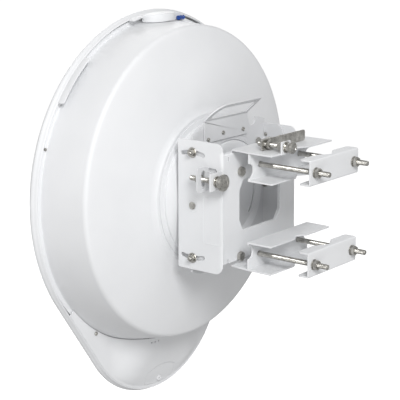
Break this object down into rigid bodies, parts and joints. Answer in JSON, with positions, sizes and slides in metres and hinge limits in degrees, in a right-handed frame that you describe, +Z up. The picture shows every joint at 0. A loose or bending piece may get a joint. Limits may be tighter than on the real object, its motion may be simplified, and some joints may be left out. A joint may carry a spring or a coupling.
{
  "type": "outdoor wireless bridge",
  "caption": "Radome-covered dish antenna with a chin for electronics, on an elevation and azimuth bracket that clamps to a mast.",
  "frame": {"origin": "on the axis of the mast that the brackets and clamps grip, level with the dish's centre and the elevation axis", "axes": "+Z up along the mast, the dish looks along -Y, +X is the side that carries the elevation adjusting screw"},
  "size_m": [0.545, 0.401, 0.6216],
  "materials": {
    "white_plastic": "satin white moulded plastic",
    "white_painted_metal": "white powder coat on sheet steel",
    "zinc_steel": "zinc-plated steel",
    "cast_aluminium": "cast aluminium",
    "black_rubber": "matt sealing rubber",
    "blue_vial": "clear blue level vial",
    "circuit_board": "solder mask",
    "dark_plastic": "smoked light pipe"
  },
  "bodies": {
    "mast_mount": {"clamp_bolt_1": "zinc_steel", "clamp_bolt_2": "zinc_steel", "clamp_bolt_3": "zinc_steel", "clamp_bolt_4": "zinc_steel", "mast_bracket_lower": "white_painted_metal", "mast_bracket_upper": "white_painted_metal"},
    "upper_clamp": {"clamp_nut_upper_1": "zinc_steel", "clamp_nut_upper_2": "zinc_steel", "clamp_upper": "white_painted_metal"},
    "lower_clamp": {"clamp_lower": "white_painted_metal", "clamp_nut_lower_1": "zinc_steel", "clamp_nut_lower_2": "zinc_steel"},
    "yoke": {"azimuth_arm": "zinc_steel", "azimuth_channel": "white_painted_metal", "azimuth_drive_bolt": "zinc_steel", "azimuth_pivot_bolt_1": "zinc_steel", "azimuth_pivot_bolt_2": "zinc_steel", "elevation_pivot_pin_1": "zinc_steel", "elevation_pivot_pin_2": "zinc_steel", "elevation_yoke": "white_painted_metal", "yoke_web_bolt_1": "zinc_steel", "yoke_web_bolt_2": "zinc_steel", "yoke_web_bolt_3": "zinc_steel", "yoke_web_bolt_4": "zinc_steel"},
    "azimuth_screw": {"azimuth_screw": "zinc_steel"},
    "azimuth_nuts": {"azimuth_screw_nut_1": "zinc_steel", "azimuth_screw_nut_2": "zinc_steel"},
    "elevation_screw": {"elevation_screw": "zinc_steel"},
    "elevation_nut": {"elevation_nut": "zinc_steel"},
    "cable_door": {"cable_door": "white_plastic"},
    "door_latch": {"door_latch": "white_plastic"},
    "dish": {"bracket_screw_1": "zinc_steel", "bracket_screw_2": "zinc_steel", "bracket_screw_3": "zinc_steel", "bracket_screw_4": "zinc_steel", "carry_handle": "white_painted_metal", "chin_rear_cover": "white_plastic", "chin_screw": "zinc_steel", "dish_bracket": "white_painted_metal", "elevation_lock_bolt_1": "zinc_steel", "elevation_lock_bolt_2": "zinc_steel", "elevation_lock_bolt_3": "zinc_steel", "elevation_lock_bolt_4": "zinc_steel", "ethernet_jack": "zinc_steel", "feed_tube": "cast_aluminium", "fibre_cage": "zinc_steel", "handle_screw_1": "zinc_steel", "handle_screw_2": "zinc_steel", "handle_screw_3": "zinc_steel", "heat_sink": "cast_aluminium", "hub_adapter": "cast_aluminium", "level_housing": "white_plastic", "level_vial": "blue_vial", "main_board": "circuit_board", "radome_front": "white_plastic", "reflector_shell": "white_plastic", "rim_gasket": "black_rubber", "rim_screw": "zinc_steel", "status_lights": "dark_plastic", "subreflector": "white_plastic"}
  },
  "joints": [
    {"name": "upper_clamp_slide", "type": "slide", "parent": "mast_mount", "child": "upper_clamp", "axis": [0, 1, 0], "range_m": [-0.01, 0.015]},
    {"name": "lower_clamp_slide", "type": "slide", "parent": "mast_mount", "child": "lower_clamp", "axis": [0, 1, 0], "range_m": [-0.01, 0.015]},
    {"name": "azimuth_turn", "type": "hinge", "parent": "mast_mount", "child": "yoke", "pos_m": [0, -0.078, 0], "axis": [0, 0, 1], "range_deg": [-10, 10]},
    {"name": "elevation_tilt", "type": "hinge", "parent": "yoke", "child": "dish", "pos_m": [0, -0.1506, 0], "axis": [1, 0, 0], "range_deg": [-10, 10]},
    {"name": "azimuth_screw_turn", "type": "hinge", "parent": "mast_mount", "child": "azimuth_screw", "pos_m": [0.046, -0.03, 0.097], "axis": [0, 1, 0], "range_deg": [-2340, 2340]},
    {"name": "azimuth_nut_travel", "type": "slide", "parent": "mast_mount", "child": "azimuth_nuts", "axis": [0, 1, 0], "range_m": [-0.0082, 0.0082]},
    {"name": "elevation_screw_turn", "type": "hinge", "parent": "yoke", "child": "elevation_screw", "pos_m": [0.108, -0.11, 0.046], "axis": [0, 1, 0], "range_deg": [-2340, 2340]},
    {"name": "elevation_nut_travel", "type": "slide", "parent": "yoke", "child": "elevation_nut", "axis": [0, 1, 0], "range_m": [-0.0082, 0.0082]},
    {"name": "cable_door_pull", "type": "slide", "parent": "dish", "child": "cable_door", "axis": [0, 1, 0], "range_m": [0, 0.03]},
    {"name": "door_latch_turn", "type": "hinge", "parent": "cable_door", "child": "door_latch", "pos_m": [0, -0.298, -0.3318], "axis": [0, 1, 0], "range_deg": [0, 90]}
  ],
  "couplings": [
    {"joint": "azimuth_nut_travel", "follows": "azimuth_turn", "m_per_rad": 0.046},
    {"joint": "azimuth_screw_turn", "follows": "azimuth_turn", "ratio": 231.22},
    {"joint": "elevation_nut_travel", "follows": "elevation_tilt", "m_per_rad": -0.046},
    {"joint": "elevation_screw_turn", "follows": "elevation_tilt", "ratio": -231.22}
  ]
}
